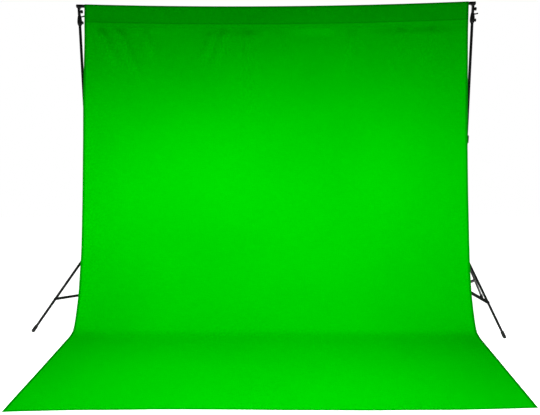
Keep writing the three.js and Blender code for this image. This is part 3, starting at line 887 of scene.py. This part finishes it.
hang = [  # the front face of the cloth from the side, (forward, height), from the columns' line
    (0.029, pocketBottom), (0.057, 2.03), (0.090, 1.50), (0.113, 1.04), (0.130, 0.735), (0.141, 0.600),
    (0.187, 0.440), (0.246, 0.288), (0.281, 0.220), (0.358, 0.100), (0.422, 0.027),
    (0.462, 0.010), (0.510, 0.0035), (0.560, 0.0009),
]
edges = [  # height, left edge, right edge
    (2.56, -1.502, 1.513), (2.35, -1.508, 1.512), (2.24, -1.512, 1.514), (1.81, -1.536, 1.524),
    (1.52, -1.547, 1.532), (1.256, -1.560, 1.544), (1.013, -1.572, 1.556), (0.603, -1.596, 1.579),
    (0.44, -1.601, 1.579), (0.0, -1.601, 1.579),
]
frontEdge = {"left": 1.709, "middle": 1.665, "right": 1.620}
leans = [  # soft folds under the pocket: where each starts, how low it runs, how far it drifts, how deep it is
    (-1.388, 2.11, 0.118, 0.020), (-1.246, 1.99, 0.173, 0.018), (-1.05, 2.14, 0.10, 0.010),
    (-0.47, 2.12, -0.11, 0.010), (-0.38, 2.06, -0.12, 0.012), (-0.215, 1.62, 0.01, 0.010),
    (0.05, 2.1, 0.03, 0.006), (0.62, 2.12, -0.05, 0.009), (1.0, 1.95, -0.06, 0.008), (1.24, 2.05, -0.08, 0.010),
]


def smoothstep(value, low, high):
    t = min(max((value - low) / (high - low), 0), 1)
    return t * t * (3 - 2 * t)


def between(table, key, column):
    # a value read from a table whose first column falls
    for upper, lower in zip(table, table[1:]):
        if key >= lower[0]:
            share = (key - lower[0]) / (upper[0] - lower[0])
            return lower[column] + (upper[column] - lower[column]) * min(share, 1)
    return table[-1][column]


def curved(points, steps):
    # a smooth line through the points
    line = []
    for i in range(len(points) - 1):
        before = Vector(points[max(i - 1, 0)])
        a = Vector(points[i])
        b = Vector(points[i + 1])
        after = Vector(points[min(i + 2, len(points) - 1)])
        chord = (b - a).length
        startPull = (b - before).normalized() * chord / 3
        endPull = (after - a).normalized() * chord / 3
        for k in range(steps):
            t = k / steps
            line.append(
                a * (1 - t) ** 3 + (a + startPull) * 3 * t * (1 - t) ** 2
                + (b - endPull) * 3 * t * t * (1 - t) + b * t ** 3
            )
    line.append(Vector(points[-1]))
    return line


def clothLine():
    # from the stitch up the back of the bar, over it, down the front and out over the floor
    r = cloth["pocketRadius"]
    middle = Vector((0, barHeight))
    seam = Vector((hang[0][0] - 0.0016, pocketBottom + 0.001))
    toSeam = seam - middle
    aim = math.atan2(toSeam.y, toSeam.x)
    spread = math.acos(r / toSeam.length)
    start = aim - spread
    end = aim + spread - 2 * math.pi
    angles = [start + (end - start) * i / 14 for i in range(15)]
    over = [middle + Vector((math.cos(a), math.sin(a))) * r for a in angles]
    up = [seam.lerp(over[0], i / 6) for i in range(6)]
    front = Vector(hang[0])
    down = [over[-1].lerp(front, i / 6) for i in range(1, 6)]
    flat, lift = hang[-1]
    floor = [Vector((flat + (frontEdge["middle"] - flat) * i / 40, lift)) for i in range(1, 41)]
    return up + over + down + curved(hang, 10) + floor


def resampled(line, count):
    lengths = [0.0]
    for a, b in zip(line, line[1:]):
        lengths.append(lengths[-1] + (b - a).length)
    total = lengths[-1]
    points = []
    k = 0
    for i in range(count + 1):
        # the rows lie closer together towards the pocket
        t = i / count
        want = total * (0.55 * t + 0.45 * t * t)
        while k < len(line) - 2 and lengths[k + 1] < want:
            k += 1
        share = (want - lengths[k]) / max(lengths[k + 1] - lengths[k], 1e-9)
        points.append((line[k].lerp(line[k + 1], min(max(share, 0), 1)), want))
    return points, total


def ripple(x, along, scale, seed):
    return noise.noise(Vector((x * scale, along * scale * 0.35, seed)))


drape = {  # depth of each kind of fold
    "gathers": 0.0035, "broad": 0.016, "soft": 0.007, "lie": 0.004, "wave": 0.003,
    "top": 2.42, "leanWidth": 0.03, "leanFrom": -0.2, "leanTo": 1.25,  # where the leaning ones begin and end
}


def folds(x, height, travel):
    # how far the cloth stands off its plain hanging surface, towards the front
    top = smoothstep(height, 1.2, drape["top"])
    gathers = drape["gathers"] * ripple(x, travel, 9.0, 3.1) * smoothstep(height, 1.9, 2.45)
    broad = drape["broad"] * ripple(x, travel * 0.3, 1.5, 8.7) * smoothstep(height, 0.2, 1.0)
    soft = drape["soft"] * ripple(x, travel * 0.5, 3.4, 5.2) * (0.25 + 0.75 * top)
    first = drape["leanFrom"]
    last = drape["leanTo"]
    lean = 0.0
    for root, low, drift, depth in leans:
        share = (drape["top"] - height) / (drape["top"] - low)
        if first < share < last:
            off = (x - root - drift * share) / drape["leanWidth"]
            fade = smoothstep(share, first, 0.1) * smoothstep(-share, -last, -0.5)
            lean += depth * math.exp(-off * off) * fade
    return gathers + broad + soft + lean


def clothPoint(across, point, travel):
    # across runs from -0.5, the left edge, to 0.5
    forward, height = point
    left = between(edges, height, 1)
    right = between(edges, height, 2)
    x = left + (right - left) * (across + 0.5)
    bend = (2 * across) ** 3  # the front edge turns towards its corners
    corner = frontEdge["right"] if across > 0 else frontEdge["left"]
    reach = frontEdge["middle"] + (corner - frontEdge["middle"]) * abs(bend)
    flat = hang[-1][0]  # from here it lies on the floor
    if forward > flat:
        forward = flat + (forward - flat) * (reach - flat) / (frontEdge["middle"] - flat)
    onFloor = smoothstep(forward, 0.34, 0.52)
    stand = folds(x, height, travel) * (1 - onFloor)
    stand *= 1 - 0.8 * smoothstep(height, pocketBottom - 0.07, pocketBottom)  # the stitch holds it
    stand *= smoothstep(-height, -2.53, -pocketBottom)
    if travel < cloth["pocket"] / 2:
        stand *= 0.5
    swell = max(0, ripple(x * 1.3, forward * 3, 2.2, 11.0))
    lie = drape["lie"] * swell * onFloor * smoothstep(forward, 0.5, 0.8)
    wave = drape["wave"] * ripple(x, 0, 2.6, 4.4) * smoothstep(forward, 1.2, 1.7)
    z = height - sagAt(x) * smoothstep(height, 0.05, barHeight) + lie
    return Vector((centre.x + x, centre.y - forward - stand - wave, z))


def clothPiece():
    points, total = resampled(clothLine(), cloth["along"])
    bm = bmesh.new()
    bmesh.ops.create_grid(bm, x_segments=cloth["across"], y_segments=cloth["along"], size=0.5, calc_uvs=True)
    uvLayer = bm.loops.layers.uv.verify()
    rows = {}
    for vert in bm.verts:
        row = round((vert.co.y + 0.5) * cloth["along"])
        rows[vert] = (vert.co.x, row)
    for face in bm.faces:
        for loop in face.loops:
            across, row = rows[loop.vert]
            loop[uvLayer].uv = (across + 0.5, points[row][1] / total)
    for vert, (across, row) in rows.items():
        vert.co = clothPoint(across, points[row][0], points[row][1])
    bmesh.ops.recalc_face_normals(bm, faces=bm.faces)
    solid = ("SOLIDIFY", {"thickness": cloth["thickness"], "offset": 0.0})
    nodes = ["backdrop_pocket", "backdrop_drop", "backdrop_sweep"]
    piece = finished("backdrop_cloth", bm, green, None, nodes, [solid], turn=180)
    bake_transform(piece)
    print("cloth length", round(total, 3))
    return piece


backdrop = clothPiece()

stitch = {"length": 0.0042, "pitch": 0.0068, "thick": 0.00035, "tall": 1.3, "above": 0.0012, "margin": 0.01}


def pocketStitches():
    # one row of thread along the bottom of the pocket, each stitch a small loaf on the cloth's face
    height = pocketBottom + stitch["above"]
    left = between(edges, height, 1)
    right = between(edges, height, 2)
    count = int((right - left - 2 * stitch["margin"]) / stitch["pitch"])
    size = (stitch["length"] / 2, stitch["thick"], stitch["thick"] * stitch["tall"])
    whole = bmesh.new()
    for i in range(count):
        x = left + stitch["margin"] + i * stitch["pitch"]
        across = (x - left) / (right - left) - 0.5
        point = clothPoint(across, Vector((hang[0][0], height)), 1.0)
        made = bmesh.ops.create_icosphere(whole, subdivisions=1, radius=1.0)["verts"]
        bmesh.ops.scale(whole, vec=size, verts=made)
        bmesh.ops.translate(whole, vec=point - Vector((0, cloth["thickness"] / 2, 0)), verts=made)
    finished("pocket_stitches", whole, thread, "raised_frame", turn=80)


pocketStitches()
print("cloth made")

studio = {
    "over": {"place": (-0.1, -1.65, 1.7), "aim": (0, -0.85, 0), "size": (3.3, 0.4), "power": 45},
    "key": {"place": (0.1, -2.7, 0.9), "aim": (0, 0, 0.75), "size": (3.3, 0.6), "power": 34},
    "left": {"place": (-3.3, -2.6, 1.5), "aim": (-0.8, -0.7, 0.2), "size": (1.2, 1.4), "power": 20},
    "right": {"place": (3.3, -2.6, 1.5), "aim": (0.8, -0.7, 0.2), "size": (1.2, 1.4), "power": 22},
    "back": {"place": (0, 3.6, 2.6), "aim": (0, 0, 1.0), "size": (3.0, 2.0), "power": 60},
    "world": 0.1,
    "floor": {"size": 4.5, "drop": 0.0005},
}


def softbox(name, light):
    data = bpy.data.lights.new(name, "AREA")
    data.shape = "RECTANGLE"
    data.size, data.size_y = light["size"]
    data.energy = light["power"]
    lamp = bpy.data.objects.new(name, data)
    bpy.context.scene.collection.objects.link(lamp)
    place = centre + Vector(light["place"])
    lamp.location = place
    lamp.rotation_euler = (centre + Vector(light["aim"]) - place).to_track_quat("-Z", "Y").to_euler()


def stageFloor():
    bm = bmesh.new()
    bmesh.ops.create_grid(bm, x_segments=1, y_segments=1, size=studio["floor"]["size"])
    mesh = bpy.data.meshes.new("floor")
    bm.to_mesh(mesh)
    bm.free()
    mesh.materials.append(paleFloor())
    floor = bpy.data.objects.new("floor", mesh)
    floor.location = (centre.x, centre.y, -studio["floor"]["drop"])
    bpy.context.scene.collection.objects.link(floor)


def studioWorld():
    # seen white, but lighting the scene more gently than it looks
    world = bpy.data.worlds.new("studio")
    bpy.context.scene.world = world
    world.use_nodes = True
    tree = world.node_tree
    sky = tree.nodes["Background"]
    sky.inputs["Color"].default_value = (1, 1, 1, 1)
    path = tree.nodes.new("ShaderNodeLightPath")
    level = tree.nodes.new("ShaderNodeMapRange")
    level.inputs["To Min"].default_value = studio["world"]
    level.inputs["To Max"].default_value = 1.0
    tree.links.new(path.outputs["Is Camera Ray"], level.inputs["Value"])
    tree.links.new(level.outputs["Result"], sky.inputs["Strength"])


camera = {
    "place": (0.0598, -5.0867, 1.809), "down": 9.790, "left": 1.171, "roll": -0.251,
    "lens": 41.42, "sensor": 36, "far": 200,
}


def lookThrough():
    data = bpy.data.cameras.new("camera")
    data.lens = camera["lens"]
    data.sensor_width = camera["sensor"]
    data.clip_end = camera["far"]
    view = bpy.data.objects.new("camera", data)
    bpy.context.scene.collection.objects.link(view)
    turn = (
        Matrix.Rotation(math.radians(camera["left"]), 4, "Z")
        @ Matrix.Rotation(math.radians(90 - camera["down"]), 4, "X")
        @ Matrix.Rotation(math.radians(camera["roll"]), 4, "Z")
    )
    view.matrix_world = Matrix.Translation(centre + Vector(camera["place"])) @ turn
    bpy.context.scene.camera = view


for name in ("over", "key", "left", "right", "back"):
    softbox(name, studio[name])
stageFloor()
studioWorld()
lookThrough()
bpy.context.scene.view_settings.view_transform = "Standard"
print("stage made")
